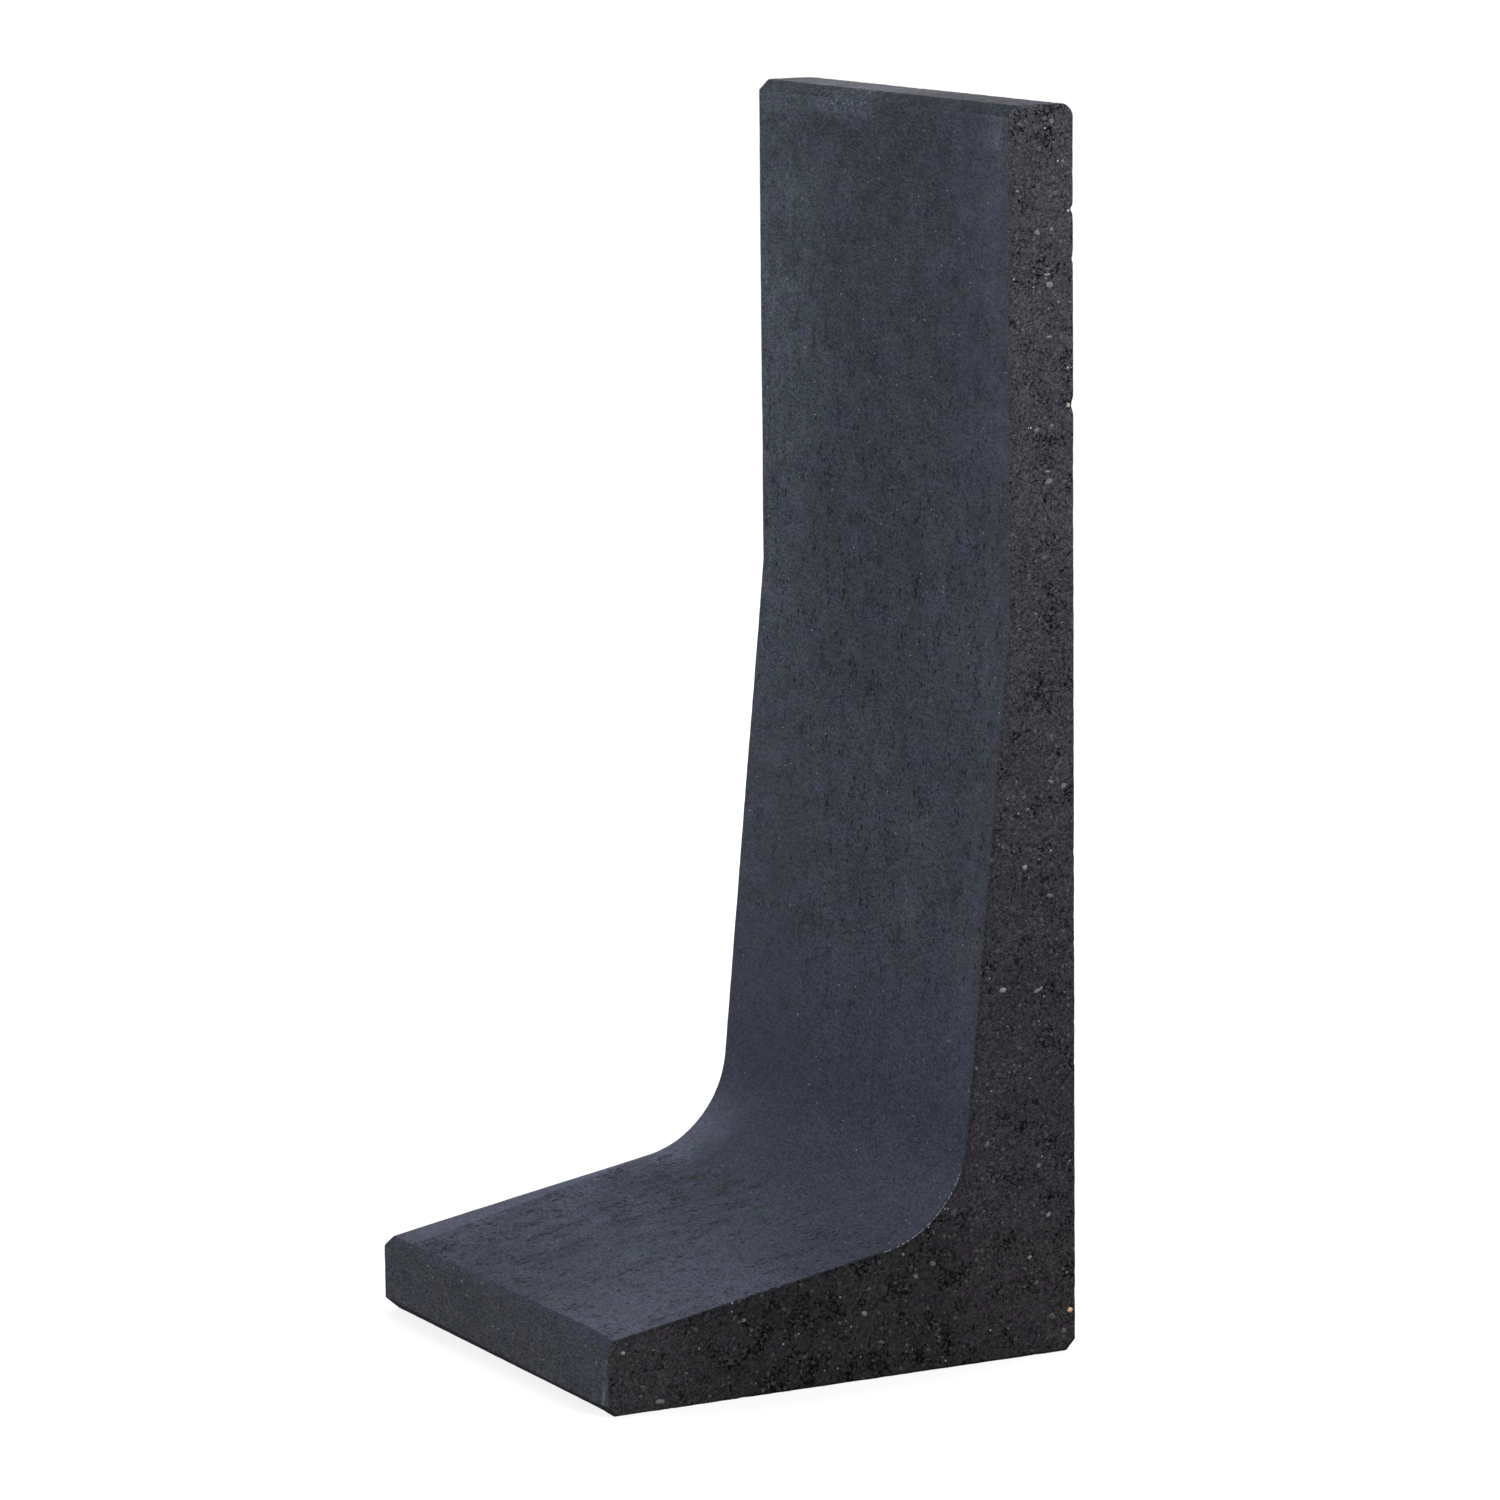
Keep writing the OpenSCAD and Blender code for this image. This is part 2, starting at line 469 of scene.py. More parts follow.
# Stones that stand out: y, z, half length, half height (mm), turn (degrees), tone.
MARKED_STONES = [
    (-166, 7, 4.0, 1.9, -5, 0.55), (-198, 50, 1.7, 1.4, 20, 1.0), (16, 54, 2.6, 2.4, 0, 0.5),
    (165, 398, 2.2, 2.2, 0, 0.75), (144, 301, 2.8, 2.0, 10, 0.7), (177, 298, 4.2, 1.5, 25, 0.6),
    (206, 33, 2.4, 2.0, 15, 1.2), (186, 114, 2.4, 1.5, 35, 0.7), (168, 81, 2.0, 1.3, 15, 0.8),
    (191, 986, 2.2, 1.9, 10, 0.31), (201, 955, 1.6, 1.4, 0, 0.34), (178, 900, 2.3, 2.2, 0, 0.37),
    (191, 902, 2.0, 1.8, 0, 0.41), (187, 867, 2.6, 1.0, 0, 0.54), (189, 859, 3.2, 2.8, 10, 0.41),
    (189, 818, 2.3, 1.0, 0, 0.51), (177, 745, 2.4, 2.2, 0, 0.34), (191, 748, 1.8, 1.7, 0, 0.41),
    (187, 712, 2.3, 0.9, 0, 0.54), (188, 704, 3.1, 2.4, 20, 0.37), (206, 916, 1.2, 1.2, 0, 0.9),
    (206, 763, 1.6, 1.8, 0, 1.0),
]
CLEAR_OF_MARKED, CLEAR_OF_OTHERS, CLEAR_OF_OUTLINE = 9.0 * MM, 0.5 * MM, 3 * MM
STONE_DEPTH = 0.6  # half depth, in half heights
STONE_SUNK = 0.45  # how far its middle lies below the face, in half depths


def inside(ring, y, z):
    """Whether a point is inside a closed ring."""
    a, b = ring, np.roll(ring, -1, axis=0)
    crosses = (a[:, 1] > z) != (b[:, 1] > z)
    with np.errstate(divide="ignore", invalid="ignore"):
        at = a[:, 0] + (z - a[:, 1]) / (b[:, 1] - a[:, 1]) * (b[:, 0] - a[:, 0])
    return bool((crosses & (y < at)).sum() % 2)


def drawn_stones():
    """The marked stones, and random ones up to the count."""
    draw = np.random.default_rng(STONE_SEED)
    outline = np.concatenate([inner_line(HIGH.x), outer_line(HIGH.x)[::-1]])
    stones = [(y * MM, z * MM, a * MM, b * MM, radians(turn), tone)
            for y, z, a, b, turn, tone in MARKED_STONES]
    marked = len(stones)
    while len(stones) < STONE_COUNT:
        y, z = draw.uniform(LOW.y, HIGH.y), draw.uniform(LOW.z, HIGH.z)
        half = (0.8 + 2.2 * draw.random()**3.2) * MM
        flat = half * draw.uniform(0.5, 1.0)
        turn, tone = draw.uniform(-0.6, 0.9), 0.08 + 0.42 * draw.random()**1.6
        gap = norm(outline - (y, z), axis=1).min()
        if gap < half + CLEAR_OF_OUTLINE or not inside(outline, y, z):
            continue
        if all(hypot(y - s[0], z - s[1]) > half + s[2] + (CLEAR_OF_MARKED if n < marked else CLEAR_OF_OTHERS)
               for n, s in enumerate(stones)):
            stones.append((y, z, half, flat, turn, tone))
    return stones


def ball():
    """The points and faces of a round ball to shape stones from."""
    made = bmesh.new()
    bmesh.ops.create_icosphere(made, subdivisions=3, radius=1.0)
    points = np.array([v.co for v in made.verts])
    faces = [[v.index for v in f.verts] for f in made.faces]
    made.free()
    return points, faces


def turned_box(n):
    """A fixed turn for stone n, so that the stones' flat sides differ."""
    a, b = 1.7 * n, 2.9 * n
    about_x = np.array([(1, 0, 0), (0, cos(a), -sin(a)), (0, sin(a), cos(a))])
    about_z = np.array([(cos(b), -sin(b), 0), (sin(b), cos(b), 0), (0, 0, 1)])
    return about_x @ about_z


def stone_points(n, shape, y, z, half, flat, turn):
    """Stone n: the ball made lumpy and blocky, flattened, turned and sunk into the face."""
    lumps = 1 + 0.16 * value_noise(shape + 7.0 * n, 0.9, 51) + 0.08 * value_noise(shape + 7.0 * n, 0.45, 52)
    blocky = (np.abs(shape @ turned_box(n))**3).sum(1)**(1 / 3)
    deep = STONE_DEPTH * flat
    p = shape * (lumps / blocky)[:, None] * (deep, half, flat)
    c, s = cos(turn), sin(turn)
    p = np.stack([p[:, 0], c * p[:, 1] - s * p[:, 2], s * p[:, 1] + c * p[:, 2]], 1)
    return p + (HIGH.x - STONE_SUNK * deep, y, z)


def exposed_stones():
    """Gravel that shows at the rough side: flattened, uneven stones set into the face."""
    shape, ring = ball()
    points, faces, tones = [], [], []
    for n, (*stone, tone) in enumerate(drawn_stones()):
        start = n * len(shape)
        points.append(stone_points(n, shape, *stone))
        faces += [[v + start for v in f] for f in ring]
        tones += [tone] * len(shape)
    mesh = bpy.data.meshes.new("exposed_stones")
    mesh.from_pydata(np.concatenate(points).tolist(), [], faces)
    made = mesh.attributes.new("tone", "FLOAT", "POINT")
    made.data.foreach_set("value", np.array(tones, np.float32))
    mesh.shade_smooth()
    mesh.materials.append(stone_material())
    return linked("exposed_stones", mesh)


# ---- node graphs

SPECULAR = 0.03
BUMP_STRENGTH = 0.8


def rgb(r, g, b):
    """A colour as a socket takes it."""
    return (r, g, b, 1.0)


def plain(level):
    return rgb(level, level, level)


class Graph:
    """Short names for the nodes of one material or world. Sizes of cells are in mm."""

    def __init__(self, owner):
        owner.use_nodes = True
        self.owner, self.tree = owner, owner.node_tree
        self.tree.nodes.clear()

    @cached_property
    def object(self):
        return self.node("TexCoord").outputs["Object"]

    def put(self, socket, value):
        if isinstance(value, bpy.types.NodeSocket):
            self.tree.links.new(value, socket)
        else:
            socket.default_value = value

    def node(self, kind, settings=None, **sockets):
        """A node with these settings and sockets. An underscore in a socket's name stands for a space."""
        made = self.tree.nodes.new("ShaderNode" + kind)
        for name, value in (settings or {}).items():
            setattr(made, name, value)
        for name, value in sockets.items():
            self.put(made.inputs[name.replace("_", " ")], value)
        return made

    def filled(self, kind, settings, *values):
        """The output of a node whose sockets are filled in their order."""
        made = self.node(kind, settings)
        for socket, value in zip(made.inputs, values):
            self.put(socket, value)
        return made.outputs[0]

    def attribute(self, name, output="Vector"):
        return self.node("Attribute", {"attribute_name": name}).outputs[output]

    def math(self, operation, a, b=0.0, c=0.0):
        return self.filled("Math", {"operation": operation}, a, b, c)

    def vector(self, operation, *values):
        return self.filled("VectorMath", {"operation": operation}, *values)

    def chain(self, operation, values):
        return reduce(lambda a, b: self.math(operation, a, b), values)

    def times(self, *values):
        return self.chain("MULTIPLY", values)

    def add(self, *values):
        return self.chain("ADD", values)

    def most(self, *values):
        return self.chain("MAXIMUM", values)

    def sum(self, start, *pairs):
        """A start, plus each value times its weight."""
        return self.add(start, *(self.times(*pair) for pair in pairs))

    def less(self, value):
        """1 minus the value."""
        return self.math("SUBTRACT", 1.0, value)

    def vary(self, value, factor):
        """1 plus the value times a factor."""
        return self.math("MULTIPLY_ADD", value, factor, 1.0)

    def centred(self, value, factor=1.0):
        """How far a noise is above or below its middle, times a factor."""
        return self.times(self.math("SUBTRACT", value, 0.5), factor)

    def rise(self, value, low, high, to_low=0.0, to_high=1.0):
        """to_low at low, to_high at high, smooth between and level past them. low may be the greater."""
        return self.node("MapRange", {"interpolation_type": "SMOOTHSTEP"}, Value=value, From_Min=low,
            From_Max=high, To_Min=to_low, To_Max=to_high).outputs[0]

    def swing(self, noise, amount):
        """A noise spread to plus and minus an amount."""
        return self.rise(noise, 0.3, 0.7, -amount, amount)

    def blend(self, share, a, b):
        """a where the share is 0, b where it is 1."""
        return self.rise(share, 0.0, 1.0, a, b)

    def span(self, value, start, full, until, end):
        """1 from full to until, 0 before the start and past the end."""
        return self.times(self.rise(value, start, full), self.rise(value, end, until))

    def around(self, value, middle, inner, outer):
        """1 within inner of the middle, 0 beyond outer."""
        return self.rise(self.math("ABSOLUTE", self.math("SUBTRACT", value, middle)), outer, inner)

    def part(self, vector, n):
        return self.node("SeparateXYZ", Vector=vector).outputs[n]

    def turned(self, vector, order):
        """The vector with its parts in another order."""
        parts = self.node("SeparateXYZ", Vector=vector).outputs
        return self.filled("CombineXYZ", {}, *(parts[n] for n in order))

    def stretch(self, vector, factors):
        return self.vector("MULTIPLY", vector, factors)

    def noise(self, vector, cell, detail=2.0, rough=0.5, output="Fac", **more):
        """Noise with features about one cell across."""
        return self.node("TexNoise", Vector=vector, Scale=1 / (cell * MM), Detail=detail, Roughness=rough,
            **more).outputs[output]

    def cells(self, vector, cell, feature="F1"):
        return self.node("TexVoronoi", {"feature": feature}, Vector=vector, Scale=1 / (cell * MM)).outputs

    def spots(self, vector, cell):
        """The distance to the nearest spot of one a cell, in cells, and the cell's own random colour."""
        made = self.cells(vector, cell)
        return made["Distance"], made["Color"]

    def mix(self, share, a, b, blend="MIX"):
        """Two colours mixed. A Mix node takes them at 6 and 7 and gives one at 2."""
        made = self.node("Mix", {"data_type": "RGBA", "blend_type": blend, "clamp_factor": True})
        for n, value in ((0, share), (6, a), (7, b)):
            self.put(made.inputs[n], value)
        return made.outputs[2]

    def scaled(self, colour, factor):
        return self.node("VectorMath", {"operation": "SCALE"}, Vector=colour, Scale=factor).outputs[0]

    def end(self, kind, shader):
        self.put(self.node("Output" + kind).inputs[0], shader)

    def finish(self, colour, roughness, height):
        """The material with this colour, roughness and bump from a height in metres."""
        normal = self.node("Bump", Height=height, Strength=BUMP_STRENGTH, Distance=1.0).outputs[0]
        self.end("Material", self.node("BsdfPrincipled", Base_Color=colour, Roughness=roughness,
            Normal=normal, Specular_IOR_Level=SPECULAR).outputs[0])
        return self.owner


# ---- moulded concrete

SPECK = rgb(0.30, 0.31, 0.33)
CRUST = (0.0470, 0.0465, 0.0556)  # the broken skin along the near arris
WARM_HUE, GREEN_HUE = (1.03, 0.93, 0.99), (0.95, 1.03, 0.96)  # how they differ from the tint
COOL_HUE = rgb(0.98, 1.005, 1.04)
SAND_TINGE = 0.13  # how far the sand's grains differ in hue
BARE_MASKS = {
    "level": 1.0,  # brightness
    "wide": 1.0,  # contrast of the broad patches
    "calm": 1.0,  # contrast of the sand
    "marks": 1.0,  # strength of fissures, flecks and pits
    "strokes": 0.0,  # how much there is of the foot's soft strokes
    "dusty": 0.0,  # how many more pale specks there are
    "frayed": 0.0,  # share of the crust
    "violet": 0.0, "cool": 0.0, "green": 0.0,  # shifts of hue
}


def moulded_hue(g, mask, tint, other, even, mid, sand):
    """The tint with patches of other hues and tinged sand."""
    patch = g.noise(even, 24, 3.0, 0.6)
    share = g.rise(g.add(patch, g.centred(mid, 0.10), mask["violet"]), 0.52, 0.58)
    warm = g.rise(g.noise(even, 16, 3.0, 0.6), 0.57, 0.66, 0.0, 0.7)
    base = rgb(*tint)
    for amount, hue in ((share, other), (warm, WARM_HUE), (mask["green"], GREEN_HUE)):
        base = g.mix(amount, base, rgb(*(a * b for a, b in zip(tint, hue))))
    base = g.mix(mask["cool"], base, COOL_HUE, "MULTIPLY")
    grains = g.vector("MULTIPLY_ADD", sand, (SAND_TINGE,) * 3, (1 - SAND_TINGE / 2,) * 3)
    return g.mix(1.0, base, grains, "MULTIPLY")


def moulded_level(g, mask, grain, skin, even, crowd, mid, fine, sand):
    """Brightness: clouds and blotches, faint streaks down the run, soft strokes, and sand."""
    cloud = g.noise(g.object, 90, 3.0)
    blotch = g.noise(even, 22, 3.0, 0.6)
    patchy = g.noise(g.object, 15, 3.0, 0.6)
    streak = g.noise(g.stretch(skin, (1.0, 0.12, 1.0)), 10, 3.0, 0.6)
    stroke = g.noise(even, 4.0, 3.0, 0.6, Distortion=1.0)
    broad = g.add(g.swing(cloud, 0.07), g.swing(blotch, 0.11), g.rise(crowd, 0.52, 0.68, 0.01, -0.06),
            g.times(g.swing(patchy, 0.11), mask["strokes"]))
    sandiness = g.add(g.centred(fine, 1.85), g.centred(g.part(sand, 0), 0.75), g.centred(mid, 0.18))
    return g.times(mask["level"], g.vary(broad, mask["wide"]),
            g.less(g.times(g.rise(streak, 0.44, 0.30), mask["wide"], 0.06)),
            g.most(g.vary(sandiness, g.times(mask["calm"], grain)), 0.25),
            g.vary(g.swing(stroke, 0.07), mask["strokes"]))


def moulded_marks(g, mask, pits, skin, crowd):
    """How much fissures, flecks, dots and pits darken the face, and where they are sunk. They gather where crowd
    is high, and pits, from 0 to 1, makes more of them show."""
    more = 0.08 * pits
    crowd = g.add(crowd, g.times(mask["strokes"], 0.05))
    field = g.noise(g.stretch(skin, (0.9, 0.7, 1.0)), 7, 3.0, 0.65, Distortion=0.6)
    broken = g.noise(g.stretch(skin, (1.0, 0.7, 1.0)), 3.5)
    chained = g.add(broken, g.centred(crowd), g.times(mask["strokes"], 0.05))
    fissure = g.times(g.around(field, 0.5, 0.016, 0.036), g.rise(chained, 0.66 - more, 0.70 - more))
    fleck = g.noise(g.stretch(skin, (0.8, 0.7, 1.0)), 2.6, 3.0, 0.7)
    dark = g.rise(g.add(fleck, g.centred(crowd, 0.5)), 0.68 - more, 0.71 - more)
    dot, dot_tag = g.spots(g.stretch(skin, (0.75, 0.42, 1.0)), 4.5)
    dot = g.times(g.rise(dot, 0.26, 0.15), g.rise(g.add(g.part(dot_tag, 1), g.centred(crowd, 1.2)), 0.70, 0.76))
    spot, spot_tag = g.spots(g.stretch(skin, (0.8, 0.5, 1.0)), 6)
    reach = g.math("MULTIPLY_ADD", g.part(spot_tag, 2), 0.16, 0.09)
    hole = g.times(g.rise(g.math("DIVIDE", spot, reach), 1.0, 0.6),
            g.rise(crowd, 0.62 - 2 * more, 0.66 - 2 * more))
    marks = g.most(g.times(g.most(hole, dot), 0.86), g.times(dark, 0.34), g.times(fissure, 0.66))
    return g.times(marks, mask["marks"]), g.times(g.most(hole, dark, fissure), mask["marks"])


def moulded(name, tint, grain, pits, masks=None, axes=None, other=(1.12, 1.02, 1.20)):
    """Fair-faced anthracite concrete with pale specks. other is how the second hue differs from the tint. masks
    gives values over the surface for some of BARE_MASKS. Without axes the skin's own directions are used."""
    g = Graph(bpy.data.materials.new(name))
    skin = g.turned(g.object, axes) if axes else g.attribute("skin")
    mask = BARE_MASKS | (masks(g) if masks else {})
    sandy = g.stretch(g.object, (0.55, 1.4, 1.0))
    even = g.stretch(skin, (0.6, 0.9, 1.0))
    mid = g.noise(even, 5.5, 2.0, 0.6)
    fine = g.noise(sandy, 1.5, 3.0, 0.85)
    _, sand = g.spots(sandy, 1.25)
    crowd = g.noise(g.stretch(skin, (0.9, 0.5, 1.0)), 15, 3.0, 0.6)

    base = moulded_hue(g, mask, tint, other, even, mid, sand)
    level = moulded_level(g, mask, grain, skin, even, crowd, mid, fine, sand)
    darkened, sunk = moulded_marks(g, mask, pits, skin, crowd)
    colour = g.scaled(base, g.times(level, g.less(darkened)))
    speck, tag = g.spots(sandy, 5)
    chosen = g.rise(g.add(g.part(tag, 0), mask["dusty"]), 0.77, 1.0, 0.0, 0.75)
    colour = g.mix(g.times(g.rise(speck, 0.14, 0.08), chosen), colour, SPECK)
    colour = g.mix(mask["frayed"], colour, g.scaled(CRUST, g.rise(fine, 0.25, 0.75, 0.3, 1.75)))
    height = g.sum(g.times(fine, 0.25 * MM), (mid, 0.2 * MM), (sunk, -0.5 * MM))
    return g.finish(colour, g.rise(fine, 0.25, 0.75, 0.86, 0.98), height)


def wandering(g, reach):
    """A slow noise for zones' borders, within about half of reach both ways."""
    return g.centred(g.noise(g.object, 40, 3.0), reach)


def scratches(g, x, down):
    """Short slanted pale scratches along the top front edge. down is the way down from the top."""
    across = g.math("MULTIPLY_ADD", down, 0.8, x)
    along = g.math("MULTIPLY_ADD", down, 0.25, g.times(x, -0.15))
    slanted = g.node("CombineXYZ", X=across, Y=along).outputs[0]
    lines = g.rise(g.noise(slanted, 2.0, 1.0), 0.56, 0.68, 0.1, 4.2)
    return g.times(g.around(x, -65 * MM, 30 * MM, 65 * MM), lines)


def front_masks(g):
    """The moulded front: paler along both arrises and on the foot's far strip, violet low down and near the
    rough side. Towards the toe's near corner it is brighter, painted light, and near the root and in the hollow
    it is darker, painted shade; the far strip's paleness is partly painted light. Its zones are from 0 to 1."""
    rise, times, around, span = g.rise, g.times, g.around, g.span
    skin = g.attribute("skin")
    x, run = g.part(skin, 0), g.part(skin, 1)
    wander = wandering(g, 30 * MM)
    loose, loose_run = g.add(x, wander), g.add(run, wander, wander)

    def left_of(start, full):
        return rise(loose, LOW.x + start * MM, LOW.x + full * MM)

    roam = g.add(x, wander, g.centred(g.noise(g.object, 75), 0.14))
    spotty = rise(g.noise(g.object, 16), 0.38, 0.62, 0.6, 1.4)
    lower, above_foot = rise(run, 0.62, 0.76), rise(run, FOOT_RUN, FOOT_RUN - 0.04)

    # On the stem and in the hollow.
    near = times(rise(loose, HIGH.x - 50 * MM, HIGH.x - 22 * MM), rise(run, HOLLOW_RUN, HOLLOW_RUN - 0.12))
    scuff = times(scratches(g, x, run), rise(run, 15 * MM, 7 * MM))
    dusted = times(rise(loose, 0.02, -0.04), rise(run, 21 * MM, 10 * MM))
    pale = times(rise(loose, HIGH.x - 48 * MM, HIGH.x - 20 * MM), rise(run, 36 * MM, 20 * MM))
    far = times(left_of(150, 15), rise(run, 0.62, 0.10, 0.06, 0.52), rise(run, 0.020, 0.075, 0.3, 1.0), spotty)
    top = rise(run, 0.16, 0.02)
    bar = times(around(loose, 0.088, 10 * MM, 17 * MM), around(run, 0.615, 40 * MM, 60 * MM))
    band = times(rise(roam, HIGH.x - 125 * MM, HIGH.x - 45 * MM), rise(loose_run, 0.32, 0.25))
    left = times(rise(loose, -0.08, -0.14), around(run, 0.50, 0.10, 0.20))
    waist = times(rise(x, 0.04, 0.12), around(run, 0.55, 0.22, 0.34))
    low = times(lower, above_foot)
    # In the hollow: fewer marks, and darker as painted shade in the recess.
    hollow = times(rise(run, HOLLOW_RUN - 0.06, HOLLOW_RUN), above_foot)
    quiet = times(rise(loose, -0.04, -0.12), rise(run, 0.48, 0.58), above_foot)

    # On the foot.
    foot = rise(run, HOLLOW_RUN + 0.05, FOOT_RUN + 0.02)
    # Near the root: darker, painted shade in the crease under the stem, more so towards the rough side.
    root = span(run, HOLLOW_RUN + 0.03, FOOT_RUN, FOOT_RUN + 0.03, FOOT_RUN + 0.11)
    near_root = times(rise(x, 0.06, 0.14), around(run, FOOT_RUN + 0.04, 0.03, 0.07))
    # Towards the toe: brighter at the near side and a little darker at the far side, painted light as if from
    # the side lamp.
    toe = times(rise(run, FOOT_RUN + 0.08, TOE_RUN), rise(loose, 0.02, 0.16, -0.30, 1.25))
    # The foot's far strip: smoother, as a band from the mould, and paler, partly painted light from the back
    # lamp passing the stem.
    limit = g.math("MULTIPLY_ADD", run, 0.135, LOW.x + 4 * MM - 0.135 * FOOT_RUN)
    strip = times(rise(g.add(g.math("SUBTRACT", limit, x), times(wander, 0.15)), -2.0 * MM, 2.0 * MM),
            rise(run, FOOT_RUN - 0.02, FOOT_RUN + 0.02))
    patch = times(left_of(75, 20),
            span(run, FOOT_RUN - 0.100, FOOT_RUN - 0.045, FOOT_RUN - 0.006, FOOT_RUN + 0.032))
    apron = times(left_of(60, 5),
            span(run, FOOT_RUN - 0.040, FOOT_RUN - 0.005, FOOT_RUN + 0.030, FOOT_RUN + 0.100))
    green, green_tag = g.spots(g.stretch(skin, (1.0, 0.8, 1.0)), 50)
    green = times(rise(green, 0.30, 0.18), rise(g.part(green_tag, 1), 0.50, 0.55), foot)

    steady = g.sum(times(g.most(near, times(band, 0.8)), 0.25), (low, 0.12), (quiet, 0.28), (strip, 0.35))
    frays = times(g.centred(g.noise(g.object, 4.0, 3.0, 0.7), 62 * MM), rise(run, 0.85, 0.45, 0.25, 1.0))
    return {
        "level": g.sum(
            1.0, (near, 0.13), (far, 0.98), (top, 0.06), (root, -0.18), (toe, 0.24), (foot, 0.02), (apron, 0.30),
            (lower, -0.045), (quiet, -0.03), (bar, 0.12), (strip, 0.42), (hollow, -0.05), (patch, 0.54),
            (scuff, 0.42), (dusted, 0.30), (left, 0.05), (band, 0.09), (pale, 0.42), (near_root, -0.08),
            (waist, 0.06)),
        "wide": g.sum(rise(run, 0.25, 0.40, 1.0, 0.8), (low, -0.4),
            (foot, rise(x, -0.04, 0.08, 0.2, -0.2)), (strip, -0.5)),
        "calm": g.most(g.less(steady), 0.55),
        "marks": g.sum(rise(run, 0.10, 0.34, 0.30, 0.88), (foot, 0.12), (low, -0.35), (hollow, -0.35),
            (strip, -0.5), (quiet, -0.25)),
        "strokes": times(foot, g.less(strip), rise(x, -0.10, 0.10, 1.0, 0.15)),
        "dusty": g.sum(rise(run, 0.35, 0.10, 0.0, 0.05), (foot, -0.07),
            (rise(x, HIGH.x - 14 * MM, HIGH.x - 4 * MM), rise(run, 0.75, 0.45), 0.28),
            (rise(x, LOW.x + 9 * MM, LOW.x + 4 * MM), rise(run, 0.10, 0.05), 0.30)),
        "frayed": times(rise(g.add(x, frays), HIGH.x - 3.2 * MM, HIGH.x - 2.2 * MM),
            rise(run, HOLLOW_RUN + 0.02, HOLLOW_RUN - 0.10)),
        "violet": g.sum(rise(loose_run, 0.62, 0.76, -0.03, 0.17), (band, 0.17), (strip, -0.05), (pale, -0.10),
            (patch, -0.09), (left_of(50, 20), rise(run, 0.06, 0.20, -0.04, 0.05)), (green, -0.15)),
        "cool": times(g.sum(rise(run, 0.62, 0.80, 0.0, 0.45), (foot, 0.5)),
            rise(run, TOE_RUN - 0.14, TOE_RUN - 0.04, 1.0, 0.2)),
        "green": times(green, 0.75),
    }


def toe_masks(g):
    """The toe's front: fine and even, with a pale line down the corner to the rough side, a painted highlight
    where the rounded arris would catch the side lamp.
    """
    x, z = g.part(g.object, 0), g.part(g.object, 2)
    # Painted highlight: a pale line along the corner where the rounded arris would catch the side lamp.
    corner = g.math("MULTIPLY_ADD", z, 0.14, HIGH.x - 11 * MM)
    wear_and_highlight = g.times(g.around(g.math("SUBTRACT", x, corner), 0.0, 1.2 * MM, 4.2 * MM),
            g.rise(z, 0.040, 0.008, 0.12, 0.75))
    return {"level": g.add(1.0, wear_and_highlight), "wide": 0.6, "calm": 1.15, "marks": 0.15, "dusty": 0.05,
            "violet": g.rise(z, 0.006, 0.030, -0.10, 0.0), "cool": g.rise(x, 0.06, 0.18, 0.0, 1.2)}


def chamfer_masks(g):
    """The chamfers: smooth, and on the top edge scratched, and paler away from the rough side."""
    x, z = g.part(g.object, 0), g.part(g.object, 2)
    loose = g.add(x, wandering(g, 60 * MM))
    upper = g.rise(z, 0.4, 0.6)
    scratched = scratches(g, x, g.math("SUBTRACT", HIGH.z, z))
    lift = g.sum(g.rise(loose, 0.05, -0.03, -0.14, 0.12), (g.rise(loose, 0.08, 0.15), 0.18), (scratched, 0.26))
    return {"level": g.add(0.97, g.times(lift, upper)), "wide": g.blend(upper, 0.5, 1.5),
            "calm": g.blend(upper, 1.15, 1.35), "marks": g.times(upper, 0.5),
            "violet": g.add(-0.08, g.times(g.rise(x, 0.12, 0.17), g.blend(upper, 0.25, 0.06))),
            "cool": g.times(g.rise(x, 0.08, 0.15), upper)}


def top_masks(g):
    """The top's flat: dusty, paler away from the rough side."""
    x = g.part(g.object, 0)
    loose = g.add(x, wandering(g, 120 * MM))
    return {"level": g.times(g.rise(loose, 0.06, -0.02, 0.76, 1.26), g.rise(x, LOW.x, LOW.x + 0.05, 0.75, 1.0)),
            "calm": 0.7}


# ---- the rough side and its stones

ROUGH_TINT, ROUGH_LOW_TINT = rgb(0.0480, 0.0470, 0.0557), rgb(0.0475, 0.0445, 0.0492)
ROUGH_GREEN, ROUGH_VIOLET = rgb(0.0447, 0.0490, 0.0497), rgb(0.0522, 0.0439, 0.0540)
SMEARED = (0.040, 0.045, 0.055)  # paste drawn over the rim beside the moulded front
GRIT, GRAVEL = rgb(0.17, 0.168, 0.172), rgb(0.15, 0.15, 0.155)
WHITE_GRAIN, CHIPPED = plain(0.5), rgb(0.4, 0.4, 0.42)
CRACK_CELL = 5.5  # mm, size of the stones that cracks run round
STONE_DARK, STONE_PALE, RUSTY = rgb(0.20, 0.20, 0.207), rgb(0.34, 0.337, 0.34), rgb(0.60, 0.40, 0.20)


def rough_level(g, y, z, under, fine, tag):
    """Clouds and coarse sand. The level follows the height, darker low down and a little darker again near the
    top, and is darker in the foot's middle: painted shade that shares the side's fall-off from top to foot with
    the side lamp. It is brighter towards the toe's end.
    """
    cloud = g.noise(g.object, 60, 3.0)
    sand = g.rise(fine, 0.25, 0.75, g.blend(under, 0.28, 0.55), g.blend(under, 1.72, 1.45))
    return g.times(g.rise(cloud, 0.3, 0.7, 0.93, 1.07), sand, g.math("MULTIPLY_ADD", g.part(tag, 1), 0.8, 0.6),
            # Painted shade: darker low down and in the foot's middle, on top of the side lamp's own fall-off.
            g.rise(z, 0.55, 0.20, 1.0, 0.85), g.rise(z, 0.80, 0.92, 1.0, 0.92),
            g.vary(under, -0.20), g.rise(y, -0.13, -0.16, 1.0, 1.18))


